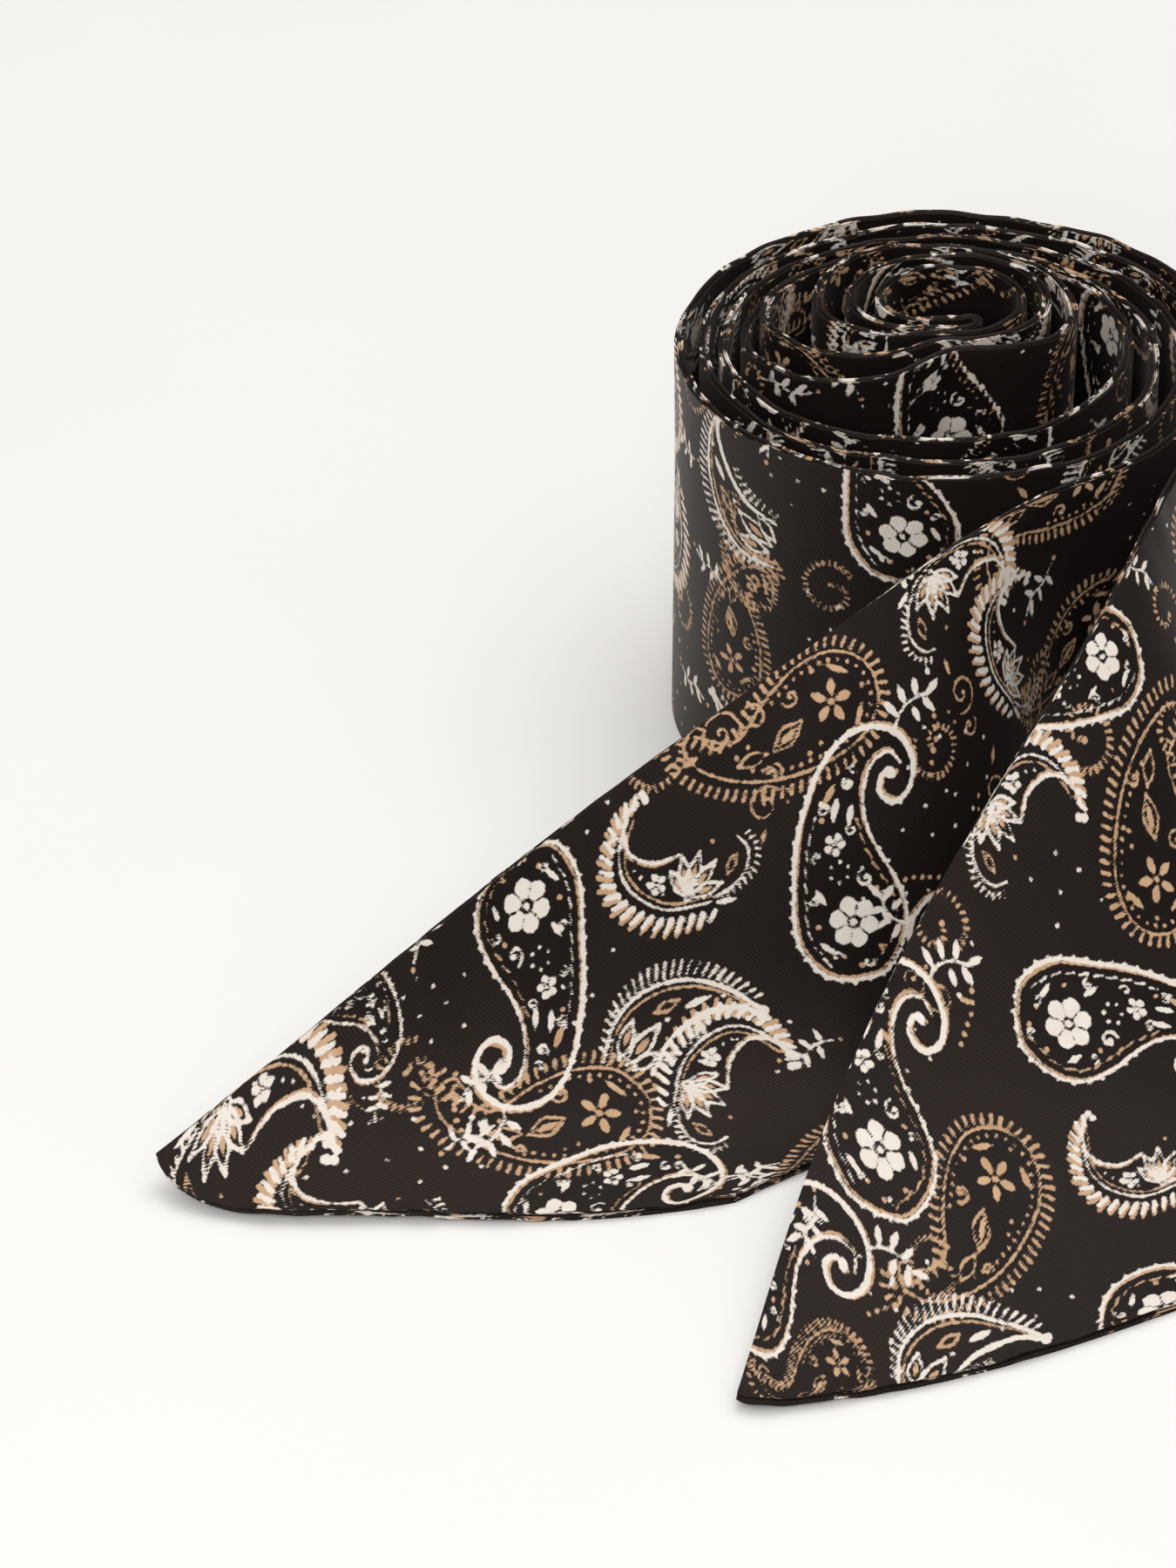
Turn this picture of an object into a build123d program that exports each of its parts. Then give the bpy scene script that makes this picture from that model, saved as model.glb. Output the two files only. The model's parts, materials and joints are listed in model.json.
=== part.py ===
from build123d import *
import math
import os

# Slim double-layer necktie, folded in half, rolled from the fold and stood on
# its long edge, with both diagonally cut ends running out of the roll.
# Millimetres. +Z is up, the floor is z = 0, the origin is under the middle
# of the whole object.

os.makedirs("parts", exist_ok=True)

# --- the strip -------------------------------------------------------------
WIDTH = 65.0            # width of the finished strip
PLY_IN = 0.30           # middle of the strip to the inner face of a panel
PLY_OUT = 0.65          # middle of the strip to the outer face of a panel
INTERLINING_HALF = 0.12
INTERLINING_INSET = 4.0  # interlining stops short of every seam
THREAD_RADIUS = 0.12
THREAD_INSET = 1.0      # seam line to the strip's edge
THREAD_SIDES = 8        # the twisted thread as an eight-sided cord

# --- the roll --------------------------------------------------------------
ROLL_X = 28.77          # axis of the roll in the part's frame
ROLL_Y = 62.89
EYE_RADIUS = 12.0       # open middle of the roll
TURNS = 4.0
FIRST_PITCH = 9.0       # loose turns at the middle, closer ones outside
PITCH_CHANGE = 0.425
PAIR_GAP = 2.8          # inner layer to outer layer of the folded strip
LEFT_EXIT = -61.0       # where the inner layer leaves the roll, degrees
RIGHT_EXIT = -27.0      # where the outer layer leaves the roll, degrees
HINGE_GAP = 1.0         # clear space either side of a bending line
POINTS_PER_TURN = 16    # points that the spiral's curve is drawn through

SHEET_ROWS = 40         # steps of an end's surface, from the bend to the cut
SHEET_COLUMNS = 6       # and from its foot to its top
SURFACE_TOLERANCE = 0.02
EDGE_THREAD_STEPS = 14
CUT_THREAD_STEPS = 8
THREAD_START, THREAD_END = 0.01, 0.98   # share of an end's length
CUT_START, CUT_END = 0.03, 0.97         # share of the strip's width

# --- the ends: foot, middle and top of the strip at five stations, measured
# --- from the roll's axis, from the bending line to the diagonal cut ---------
LEFT_STATIONS = [
    [(14, -62, 1), (4, -66, 33), (-16, -62, 58)],
    [(6, -90, 1), (-23, -87, 22), (-51, -83, 42)],
    [(-14, -112, 1), (-51, -105, 9), (-85, -104, 24)],
    [(-34, -126, 1), (-75, -130, 2), (-115, -121, 6)],
]
RIGHT_STATIONS = [
    [(49, -48, 2), (40, -56, 33), (19, -61, 56)],
    [(57, -79, 3), (29, -88, 20), (-5, -93, 31)],
    [(49, -110, 1), (14, -121, 7), (-24, -132, 11)],
    [(41, -138, 1), (3, -156, 2), (-34, -168, 3)],
]


def turn_radius(turn):
    """Radius of the inner layer after this many turns from the fold."""
    return EYE_RADIUS + FIRST_PITCH * turn - PITCH_CHANGE * turn ** 2


def roll_point(turn, lift, z=0.0):
    """A point of the spiral, lifted outwards by `lift`."""
    angle = math.radians(LEFT_EXIT + 360.0 * (TURNS - turn))
    radius = turn_radius(turn) + lift
    return Vector(ROLL_X + radius * math.cos(angle), ROLL_Y + radius * math.sin(angle), z)


LEFT_RADIUS = turn_radius(TURNS)
RIGHT_TURNS = TURNS - (RIGHT_EXIT - LEFT_EXIT) / 360.0
RIGHT_RADIUS = turn_radius(RIGHT_TURNS) + PAIR_GAP


def spiral_edge(last_turn, lift, z):
    """One layer of the roll as a smooth curve from the fold to its exit."""
    count = int(last_turn * POINTS_PER_TURN)
    points = [roll_point(last_turn * i / count, lift, z) for i in range(count + 1)]
    return Edge.make_spline(points)


def strip_edges(offset, z=0.0):
    """Left exit to fold to right exit, `offset` towards the front panel."""
    left_last = TURNS - math.degrees(HINGE_GAP / LEFT_RADIUS) / 360.0
    right_last = RIGHT_TURNS - math.degrees(HINGE_GAP / RIGHT_RADIUS) / 360.0
    inner = spiral_edge(left_last, -offset, z)
    outer = spiral_edge(right_last, PAIR_GAP + offset, z)
    angle = math.radians(LEFT_EXIT)
    reach = PAIR_GAP / 2 + offset
    middle = roll_point(0.0, PAIR_GAP / 2, z)
    crown = middle + Vector(-math.sin(angle), math.cos(angle), 0) * reach
    fold = Edge.make_three_point_arc(inner @ 0, crown, outer @ 0)
    return [inner, fold, outer]


def roll_band(low, high, bottom, top):
    """Upright band of the roll between two offsets."""
    one = strip_edges(low)
    two = strip_edges(high)
    caps = [Edge.make_line(one[0] @ 1, two[0] @ 1), Edge.make_line(one[2] @ 1, two[2] @ 1)]
    outline = Wire(one + two + caps)
    band = extrude(Face(outline), amount=top - bottom, dir=(0, 0, 1))
    return Pos(0, 0, bottom) * band


def roll_thread(z):
    """Seam thread lying in the roll at height z."""
    return roll_band(-THREAD_RADIUS, THREAD_RADIUS, z - THREAD_RADIUS, z + THREAD_RADIUS)


def exit_frame(angle_deg, radius):
    """Bending line and leaving direction of an end."""
    angle = math.radians(angle_deg)
    point = Vector(ROLL_X + radius * math.cos(angle), ROLL_Y + radius * math.sin(angle), 0)
    heading = Vector(math.sin(angle), -math.cos(angle), 0)
    return point, heading


def end_rails(stations, angle_deg, radius):
    """Foot, middle and top curves of one end."""
    point, heading = exit_frame(angle_deg, radius)
    rails = []
    for level in range(3):
        start = point + heading * HINGE_GAP + Vector(0, 0, WIDTH * level / 2)
        points = [start] + [Vector(*row[level]) + Vector(ROLL_X, ROLL_Y, 0) for row in stations]
        chord = (points[-1] - points[-2]).normalized()
        rails.append(Edge.make_spline(points, tangents=[heading, chord]))
    return rails


def sheet_point(rails, along, across):
    """Point of an end: along 0..1 to the cut, across 0..1 foot to top."""
    foot, middle, top = [rail.position_at(along) for rail in rails]
    near = (1 - across) * (1 - 2 * across)
    far = across * (2 * across - 1)
    return foot * near + middle * (4 * across * (1 - across)) + top * far


def middle_face(rails, inset):
    """Middle surface of an end, short of its edges by inset."""
    long_run = rails[1].length
    a_low, a_high = inset / long_run, 1 - inset / long_run
    c_low, c_high = inset / WIDTH, 1 - inset / WIDTH
    rows = []
    for i in range(SHEET_ROWS + 1):
        along = a_low + (a_high - a_low) * i / SHEET_ROWS
        levels = [c_low + (c_high - c_low) * j / SHEET_COLUMNS for j in range(SHEET_COLUMNS + 1)]
        rows.append([sheet_point(rails, along, across) for across in levels])
    return Face.make_surface_from_array_of_points(
        rows, tol=SURFACE_TOLERANCE, min_deg=3, max_deg=5)


def offset_face(face, amount):
    """The face lying `amount` off another along its normal."""
    slab = Solid.thicken(face, amount)
    wide = slab.faces().sort_by(SortBy.AREA)[-2:]
    return max(wide, key=lambda f: (f.position_at(0.5, 0.5) - face.position_at(0.5, 0.5)).length)


def panel(face, side):
    """One panel on the given side (+1 or -1) of the middle surface."""
    inner = offset_face(face, side * PLY_IN)
    same_way = inner.normal_at(0.5, 0.5).dot(face.normal_at(0.5, 0.5)) > 0
    depth = side * (PLY_OUT - PLY_IN)
    return Solid.thicken(inner, depth if same_way else -depth)


def interlining(rails):
    """Interlining of an end, inside its seams."""
    face = middle_face(rails, INTERLINING_INSET)
    lower = offset_face(face, -INTERLINING_HALF)
    same_way = lower.normal_at(0.5, 0.5).dot(face.normal_at(0.5, 0.5)) > 0
    depth = 2 * INTERLINING_HALF
    return Solid.thicken(lower, depth if same_way else -depth)


def thread_along(points):
    """Thin thread through the points."""
    path = Edge.make_spline(points)
    start = Plane(origin=path @ 0, z_dir=path % 0)
    return sweep(start * RegularPolygon(THREAD_RADIUS, THREAD_SIDES), path=path)


def edge_thread(rails, across):
    """Seam thread along a long edge of an end."""
    run = THREAD_END - THREAD_START
    places = [THREAD_START + run * i / EDGE_THREAD_STEPS for i in range(EDGE_THREAD_STEPS + 1)]
    return thread_along([sheet_point(rails, along, across) for along in places])


def cut_thread(rails):
    """Seam thread along the diagonal cut of an end."""
    along = 1 - 2 * THREAD_INSET / rails[1].length
    run = CUT_END - CUT_START
    places = [CUT_START + run * i / CUT_THREAD_STEPS for i in range(CUT_THREAD_STEPS + 1)]
    return thread_along([sheet_point(rails, along, across) for across in places])


def save(shape, name):
    shape = shape.solids()[0] if len(shape.solids()) == 1 else shape
    shape.label = name
    export_step(shape, f"parts/{name}.step")
    box = shape.bounding_box()
    print(name, "volume", round(shape.volume, 1), "box", box.min, box.max)
    return box


boxes = [
    save(roll_band(PLY_IN, PLY_OUT, 0, WIDTH), "roll_front_panel"),
    save(roll_band(-PLY_OUT, -PLY_IN, 0, WIDTH), "roll_back_panel"),
    save(roll_band(-INTERLINING_HALF, INTERLINING_HALF, INTERLINING_INSET,
                   WIDTH - INTERLINING_INSET), "roll_interlining"),
    save(roll_thread(THREAD_INSET), "roll_bottom_seam"),
    save(roll_thread(WIDTH - THREAD_INSET), "roll_top_seam"),
]

# The strip turns over at the fold: the panel that faces out on the right end
# faces in on the left end.
ENDS = [
    ("left", LEFT_STATIONS, LEFT_EXIT, LEFT_RADIUS, -1),
    ("right", RIGHT_STATIONS, RIGHT_EXIT, RIGHT_RADIUS, 1),
]
for side, stations, exit_angle, exit_radius, facing in ENDS:
    rails = end_rails(stations, exit_angle, exit_radius)
    face = middle_face(rails, 0.0)
    out_way = Vector(1, -1, 0.5).dot(face.normal_at(0.5, 0.5)) > 0
    sign = facing if out_way else -facing
    boxes.append(save(panel(face, sign), f"{side}_front_panel"))
    boxes.append(save(panel(face, -sign), f"{side}_back_panel"))
    boxes.append(save(interlining(rails), f"{side}_interlining"))
    boxes.append(save(edge_thread(rails, THREAD_INSET / WIDTH), f"{side}_bottom_seam"))
    boxes.append(save(edge_thread(rails, 1 - THREAD_INSET / WIDTH), f"{side}_top_seam"))
    boxes.append(save(cut_thread(rails), f"{side}_cut_seam"))
    hinge, heading = exit_frame(exit_angle, exit_radius)
    print(side, "bending line", hinge, "heading", heading, "length", rails[2].length)

lows = [min(getattr(b.min, k) for b in boxes) for k in "XYZ"]
highs = [max(getattr(b.max, k) for b in boxes) for k in "XYZ"]
print("whole", [round(v, 2) for v in lows], [round(v, 2) for v in highs])
print("middle", round((lows[0] + highs[0]) / 2, 2), round((lows[1] + highs[1]) / 2, 2))
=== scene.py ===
# %% [markdown]
# # A slim printed tie, rolled from its fold and stood on its edge
# The frame gives every fixed thing: the roll's axis, the two bending lines
# where the ends leave the roll, and the box that the cloth has to stay in.

# %% Load the frame
import json
import math
import random

import bmesh
import bpy
import numpy as np
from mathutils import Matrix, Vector


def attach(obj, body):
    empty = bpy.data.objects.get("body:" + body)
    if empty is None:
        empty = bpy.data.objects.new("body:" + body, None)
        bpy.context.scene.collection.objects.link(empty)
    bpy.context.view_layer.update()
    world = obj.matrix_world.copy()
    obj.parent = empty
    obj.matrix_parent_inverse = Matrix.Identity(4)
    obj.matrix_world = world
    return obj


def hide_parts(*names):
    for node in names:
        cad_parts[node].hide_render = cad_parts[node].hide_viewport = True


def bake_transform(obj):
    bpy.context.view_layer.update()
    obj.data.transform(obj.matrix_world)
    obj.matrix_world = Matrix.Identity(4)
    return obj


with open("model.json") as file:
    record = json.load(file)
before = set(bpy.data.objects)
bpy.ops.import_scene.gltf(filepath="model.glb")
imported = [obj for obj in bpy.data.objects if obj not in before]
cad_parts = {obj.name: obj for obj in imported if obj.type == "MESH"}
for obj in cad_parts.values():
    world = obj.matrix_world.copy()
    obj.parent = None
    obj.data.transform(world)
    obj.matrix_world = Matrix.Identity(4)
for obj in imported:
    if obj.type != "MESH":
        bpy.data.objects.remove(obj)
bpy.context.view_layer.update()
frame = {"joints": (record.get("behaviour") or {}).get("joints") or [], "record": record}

MM = 0.001

# %% [markdown]
# ## Driving sizes
# One strip of two panels, sewn round its edge and turned. The roll's axis is
# the middle of its open eye, and each end bends about an upright line.
# Plan sizes below are in millimetres from the roll's axis.

# %% Named sizes and places
eye = frame["record"]["physics"]["openings"][0]["box_m"]
AXIS = np.array([(eye[0][0] + eye[1][0]) / 2, (eye[0][1] + eye[1][1]) / 2, 0.0]) / MM
HINGES = {j["child"]: np.array(j["pos_m"]) / MM - AXIS for j in frame["joints"]}
WIDTH = 65.0             # finished width of the strip
TURNS = 4.0              # turns of the folded strip
LEFT_EXIT, RIGHT_EXIT = -61.0, -27.0
RIGHT_TURNS = TURNS - (RIGHT_EXIT - LEFT_EXIT) / 360
TUCK = 1.8               # cloth taken up by the swell at each edge
print("axis", AXIS, "hinges", HINGES)

# %% [markdown]
# ## Numbers that change smoothly
# Cloth has no corners where it bends, so its radii, heights and waves come
# from a few noted values with an eased curve through them. An eased curve is
# used, and not a plain spline, because a spline swings past its values and
# would push one layer of the roll into the next.


# %% Small helpers for smooth numbers
def smooth(x, low, high):
    """0 below low, 1 above high, with an easy start and stop."""
    t = np.clip((np.asarray(x, float) - low) / (high - low), 0, 1)
    return t * t * (3 - 2 * t)


def ease_between(t, one, two, slope_one, slope_two):
    """Cubic from one value to the next as t goes from 0 to 1, with the slope at each."""
    return ((2 * t**3 - 3 * t**2 + 1) * one + (3 * t**2 - 2 * t**3) * two
            + (t**3 - 2 * t**2 + t) * slope_one + (t**3 - t**2) * slope_two)


def eased_curve(places, values):
    """A curve through the values that never swings past them."""
    places, values = np.asarray(places, float), np.asarray(values, float)
    run = np.diff(places)
    slope = np.diff(values) / run
    tangent = np.zeros(len(values))
    same = slope[1:] * slope[:-1] > 0
    mean = 2 * slope[1:] * slope[:-1] / np.where(same, slope[1:] + slope[:-1], 1)
    tangent[1:-1] = np.where(same, mean, 0)
    tangent[0], tangent[-1] = slope[0], slope[-1]

    def at(x):
        k = np.clip(np.searchsorted(places, x, side="right") - 1, 0, len(run) - 1)
        t = (x - places[k]) / run[k]
        return ease_between(t, values[k], values[k + 1], tangent[k] * run[k], tangent[k + 1] * run[k])
    return at


def distances(path):
    """How far along a path each of its points lies."""
    return np.concatenate([[0], np.cumsum(np.linalg.norm(np.diff(path, axis=0), axis=1))])


def wander(*waves):
    """A slow uneven number made of a few sine waves: (size, period, shift)."""
    def at(x):
        return sum(size * np.sin(2 * np.pi * x / period + shift) for size, period, shift in waves)
    return at


# %% [markdown]
# ## The path of the cloth in the roll
# A roll wound by hand isn't a clean spiral. The first turns sit tight, pushed
# back and a little proud, then there is a slack gap, then the outer turns.
# Radii are noted four times a turn: front, right, back and left.

# %% Radii of the two layers, from the fold to the exits
INNER = [(0.0, 6.0), (0.08, 5.6), (0.33, 10.0), (0.58, 10.0), (0.83, 11.6), (1.08, 9.7),
         (1.33, 19.5), (1.58, 17.7), (1.83, 19.0), (2.08, 9.1), (2.33, 31.0), (2.58, 30.0),
         (2.83, 31.2), (3.08, 32.2), (3.33, 37.4), (3.58, 37.0), (3.83, 40.2), (4.0, 41.197)]
OUTER = [(0.0, 8.4), (0.08, 7.7), (0.33, 14.4), (0.58, 13.4), (0.83, 15.4), (1.08, 11.8),
         (1.33, 27.6), (1.58, 21.2), (1.83, 27.6), (2.08, 28.2), (2.33, 34.2), (2.58, 33.5),
         (2.83, 35.4), (3.08, 36.6), (3.33, 41.0), (3.58, 40.9), (3.83, 43.0), (RIGHT_TURNS, 43.467)]
inner_radius = eased_curve(*zip(*INNER))
outer_radius = eased_curve(*zip(*OUTER))


PROUD = 4.6                     # how far the first turns stand above the rest
PUSHED_BACK = (-0.5, 7.0)       # how far they sit off the roll's axis


def inner_rise(turn):
    return PROUD * (1 - smooth(turn, 1.95, 2.5))


def outer_rise(turn):
    return PROUD * (1 - smooth(turn, 1.0, 1.6))


def plan_point(turn, radius):
    """Point seen from above; the inner turns sit towards the back."""
    angle = np.radians(LEFT_EXIT + 360 * (TURNS - turn))
    push = 1 - smooth(turn, 1.2, 2.6)
    return np.stack([PUSHED_BACK[0] * push + radius * np.cos(angle),
                     PUSHED_BACK[1] * push + radius * np.sin(angle)], -1)


# %% The strip of the roll, seen from above
def roll_line():
    """The strip seen from above, left bending line to right: (x, y, rise)."""
    turns_in = np.linspace(TURNS, 0, 1400)
    turns_out = np.linspace(0, RIGHT_TURNS, 1400)
    way_in = plan_point(turns_in, inner_radius(turns_in))
    way_out = plan_point(turns_out, outer_radius(turns_out))
    middle, reach = (way_in[-1] + way_out[0]) / 2, (way_out[0] - way_in[-1]) / 2
    ahead = np.array([-reach[1], reach[0]])
    swing = np.linspace(0, np.pi, 40)[1:-1, None]
    fold = middle - reach * np.cos(swing) + ahead * np.sin(swing)
    fold_rise = np.full(len(fold), inner_rise(0.0))
    rise = np.concatenate([inner_rise(turns_in), fold_rise, outer_rise(turns_out)])
    return np.column_stack([np.vstack([way_in, fold, way_out]), rise])


LINE = roll_line()
ALONG = distances(LINE[:, :2])
ROLL_LENGTH = float(ALONG[-1])
print("cloth in the roll, mm:", round(ROLL_LENGTH, 1))


# %% Place a point of the roll's cloth
def roll_place(u, height, offset):
    """Where cloth at distance u along the roll goes, `offset` to its front side."""
    x, y, rise = (np.interp(u, ALONG, LINE[:, k]) for k in range(3))
    ahead = np.stack([np.interp(u + 0.4, ALONG, LINE[:, k]) - np.interp(u - 0.4, ALONG, LINE[:, k])
                      for k in range(2)], -1)
    ahead /= np.linalg.norm(ahead, axis=-1, keepdims=True)
    x, y = x - ahead[..., 1] * offset, y + ahead[..., 0] * offset
    return np.stack([x, y, height + rise], -1)


# %% [markdown]
# ## The path of the cloth in the two ends
# Each end starts upright at its bending line and lies down towards its cut.
# Three smooth rails carry it: the foot, the middle and the top of the strip.
# Stations along the end hold one point for each rail, and a curved surface
# through the rails bends both ways, as cloth does when it twists and lies down.

# %% Rails of the ends
END_STATIONS = {        # foot, middle and top of the strip, towards the cut
    "left_end": [
        [(14, -62, 1), (4, -66, 33), (-16, -62, 58)],
        [(6, -90, 1), (-23, -87, 22), (-51, -83, 42)],
        [(-14, -112, 1), (-51, -105, 9), (-85, -104, 24)],
        [(-34, -126, 1), (-75, -130, 2), (-115, -121, 6)],
    ],
    "right_end": [
        [(49, -48, 2), (40, -56, 33), (19, -61, 56)],
        [(57, -79, 3), (29, -88, 20), (-5, -93, 31)],
        [(49, -110, 1), (14, -121, 7), (-24, -132, 11)],
        [(41, -138, 1), (3, -156, 2), (-34, -168, 3)],
    ],
}
EXITS = {"left_end": math.radians(LEFT_EXIT), "right_end": math.radians(RIGHT_EXIT)}
print("stations", {body: len(rows) for body, rows in END_STATIONS.items()})


# %% Smooth rails through the stations
RAIL_STEPS = 400


def make_rail(body, level):
    """Smooth curve through one level of the stations, in even steps, and its length."""
    angle = EXITS[body]
    heading = np.array([math.sin(angle), -math.cos(angle), 0])
    start = HINGES[body] + np.array([0, 0, WIDTH * level / 2])
    knots = np.array([start] + [row[level] for row in END_STATIONS[body]], float)
    gaps = np.linalg.norm(np.diff(knots, axis=0), axis=1)
    places = distances(knots)
    right = np.zeros_like(knots)
    right[0] = heading
    right[-1] = (knots[-1] - knots[-2]) / gaps[-1]
    size = len(knots)
    matrix = np.eye(size)
    for k in range(1, size - 1):
        a, b = gaps[k - 1], gaps[k]
        matrix[k, k - 1:k + 2] = [b, 2 * (a + b), a]
        right[k] = 3 * (b * (knots[k] - knots[k - 1]) / a + a * (knots[k + 1] - knots[k]) / b)
    tangents = np.linalg.solve(matrix, right)
    x = np.linspace(0, places[-1], 1200)
    k = np.clip(np.searchsorted(places, x, side="right") - 1, 0, size - 2)
    gap = gaps[k][:, None]
    t = (x - places[k])[:, None] / gap
    path = ease_between(t, knots[k], knots[k + 1], tangents[k] * gap, tangents[k + 1] * gap)
    travel = distances(path)
    even = np.linspace(0, travel[-1], RAIL_STEPS + 1)
    return np.stack([np.interp(even, travel, path[:, i]) for i in range(3)], -1), travel[-1]


RAILS = {body: [make_rail(body, level) for level in range(3)] for body in END_STATIONS}


# %% The surface between the rails
def across_mix(values, across):
    """Quadratic from foot, middle and top values."""
    near = (1 - across) * (1 - 2 * across)
    far = across * (2 * across - 1)
    return values[0] * near + values[1] * (4 * across * (1 - across)) + values[2] * far


def end_length(body, across):
    return across_mix([rail[1] for rail in RAILS[body]], across)


def end_surface(body, along, across):
    """Middle surface of an end: along 0..1 to the cut, across 0..1."""
    rails = [rail[0] for rail in RAILS[body]]
    steps = np.linspace(0, 1, RAIL_STEPS + 1)
    levels = [np.stack([np.interp(along, steps, rail[:, i]) for i in range(3)], -1) for rail in rails]
    past = np.maximum(along - 1, 0)[..., None]
    levels = [level + (rail[-1] - rail[-2]) * RAIL_STEPS * past for level, rail in zip(levels, rails)]
    return across_mix(levels, across[..., None])


def end_place(body, along, across, offset):
    """The surface, moved `offset` to the strip's front side."""
    d = 0.006
    run = end_surface(body, along + d, across) - end_surface(body, np.maximum(along - d, 0), across)
    rise = end_surface(body, along, across + d) - end_surface(body, along, across - d)
    normal = np.cross(run, rise)
    normal /= np.linalg.norm(normal, axis=-1, keepdims=True)
    side = 1 if body == "left_end" else -1
    return end_surface(body, along, across) + normal * (side * offset)[..., None]


for body in RAILS:
    print(body, "foot, middle and top lengths", [round(rail[1], 1) for rail in RAILS[body]])

# %% [markdown]
# ## The camera
# The tie is seen from the front and above, by a long lens about a metre away,
# which keeps the round top of the roll from looking stretched. The camera is
# placed from the roll's axis.

# %% Camera
CAMERA_PITCH = 35                              # degrees that it looks down
CAMERA_FROM_AXIS = (-54.9, -859.5, 586.1)


def new_object(name, data):
    """An object that shows the data, linked to the scene."""
    made = bpy.data.objects.new(name, data)
    bpy.context.scene.collection.objects.link(made)
    return made


camera_data = bpy.data.cameras.new("camera")
camera_data.lens = 151.7
camera_data.sensor_width = 36
camera_data.clip_end = 20
camera = new_object("camera", camera_data)
camera.location = (AXIS + np.array(CAMERA_FROM_AXIS)) * MM
camera.rotation_euler = (math.radians(90 - CAMERA_PITCH), 0, 0)
bpy.context.scene.camera = camera
print("camera at", [round(x, 3) for x in camera.location])

# %% [markdown]
# ## Cutting a panel
# A panel is cut flat as a fine grid with a coarser lining behind it, and the
# two are joined round the edge, so that it is closed cloth with a thickness.
# Near an edge the cloth swells over the turned seam allowance and then dives
# into the seam, so that a front and a back panel meet in a groove.

# %% The swell at an edge: distance from the seam, distance in, half thickness
SWELL = [(0.0, 0.80, 0.12), (0.45, 0.42, 0.26), (0.9, 0.10, 0.52), (1.4, 0.08, 0.80),
         (2.0, 0.42, 1.00), (3.0, 1.25, 1.06), (5.0, 3.20, 1.02), (8.0, 6.20, 0.92),
         (12.0, 10.20, 0.80), (16.0, 14.20, 0.72), (24.0, 22.20, 0.70), (9000.0, 8998.2, 0.70)]
SWELL_AT, SWELL_IN, SWELL_UP = (np.array(column) for column in zip(*SWELL))
SEAM_STEPS = np.array([0, 0.2, 0.4, 0.6, 0.8, 1.0, 1.25, 1.5, 1.8, 2.2, 2.7])
SEAM_REACH = SEAM_STEPS[-1]
BLANK_GAP = 0.05         # between the two grids of a blank, before it is bent


def edge_swell(q):
    """Cloth q mm from the seam: (distance in from the edge, half thickness)."""
    return np.interp(q, SWELL_AT, SWELL_IN), np.interp(q, SWELL_AT, SWELL_UP)


# %% Cut a flat blank
def places_between(start, end, pitch, seam_at_start, seam_at_end):
    """Even places, with close ones where there is a seam."""
    close = SEAM_STEPS if pitch < 1.4 else SEAM_STEPS[::2]
    head = start + close if seam_at_start else np.array([start])
    tail = end - close[::-1] if seam_at_end else np.array([end])
    count = max(int(round((tail[0] - head[-1]) / pitch)), 2)
    return np.concatenate([head, np.linspace(head[-1], tail[0], count + 1)[1:-1], tail])


def cut_panel(name, fine, coarse):
    """Flat closed blank: the object, each point's two places, and which points face out."""
    bm = bmesh.new()
    for level, (columns, rows) in enumerate([fine, coarse]):
        made = bmesh.ops.create_grid(bm, x_segments=len(columns) - 1, y_segments=len(rows) - 1, size=1)
        bmesh.ops.translate(bm, vec=(0, 0, -BLANK_GAP * level), verts=made["verts"])
    lining = [f for f in bm.faces if f.calc_center_median().z < -BLANK_GAP / 2]
    bmesh.ops.reverse_faces(bm, faces=lining)
    rim = [e for e in bm.edges if e.is_boundary]
    for edge in rim:
        edge.smooth = False
    bmesh.ops.bridge_loops(bm, edges=rim)
    bmesh.ops.recalc_face_normals(bm, faces=bm.faces)
    open_edges = sum(not e.is_manifold for e in bm.edges)
    mesh = bpy.data.meshes.new(name)
    bm.to_mesh(mesh)
    bm.free()
    piece = new_object(name, mesh)
    flat = np.zeros(len(mesh.vertices) * 3)
    mesh.vertices.foreach_get("co", flat)
    flat = flat.reshape(-1, 3)
    outer = flat[:, 2] > -BLANK_GAP / 2
    place = np.zeros((len(flat), 2))
    for (columns, rows), chosen in ((fine, outer), (coarse, ~outer)):
        place[chosen, 0] = np.interp(flat[chosen, 0], np.linspace(-1, 1, len(columns)), columns)
        place[chosen, 1] = np.interp(flat[chosen, 1], np.linspace(-1, 1, len(rows)), rows)
    print(name, len(mesh.polygons), "faces, open edges", open_edges)
    return piece, place, outer


# %% Finish a bent panel
def corner_points(mesh):
    """The point that each corner of each face uses."""
    corner = np.zeros(len(mesh.loops), np.int32)
    mesh.loops.foreach_get("vertex_index", corner)
    return corner


def finish_cloth(piece, position, u, v):
    """Puts the bent shape and the flat cloth's UV into the blank."""
    mesh = piece.data
    mesh.vertices.foreach_set("co", ((position + AXIS) * MM).astype(np.float32).ravel())
    flat = np.stack([u, v], -1)[corner_points(mesh)] * MM
    uv = mesh.uv_layers.new(name="cloth")
    uv.data.foreach_set("uv", flat.astype(np.float32).ravel())
    mesh.polygons.foreach_set("use_smooth", np.ones(len(mesh.polygons), bool))
    turned = bmesh.new()
    turned.from_mesh(mesh)
    if turned.calc_volume(signed=True) < 0:
        bmesh.ops.reverse_faces(turned, faces=turned.faces)
        turned.to_mesh(mesh)
    turned.free()
    mesh.update()
    return piece


# %% [markdown]
# ## Bending the panels
# A blank could be bent by a Curve modifier, but the swell at the seams has to
# stay at right angles to cloth that bends both ways. So each point of the flat
# blank is placed from where it lies along and across the cloth. In the roll,
# across the cloth is straight up. On an end, the swell runs round both long
# edges and the diagonal cut, and the tip is a little blunt.

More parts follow.
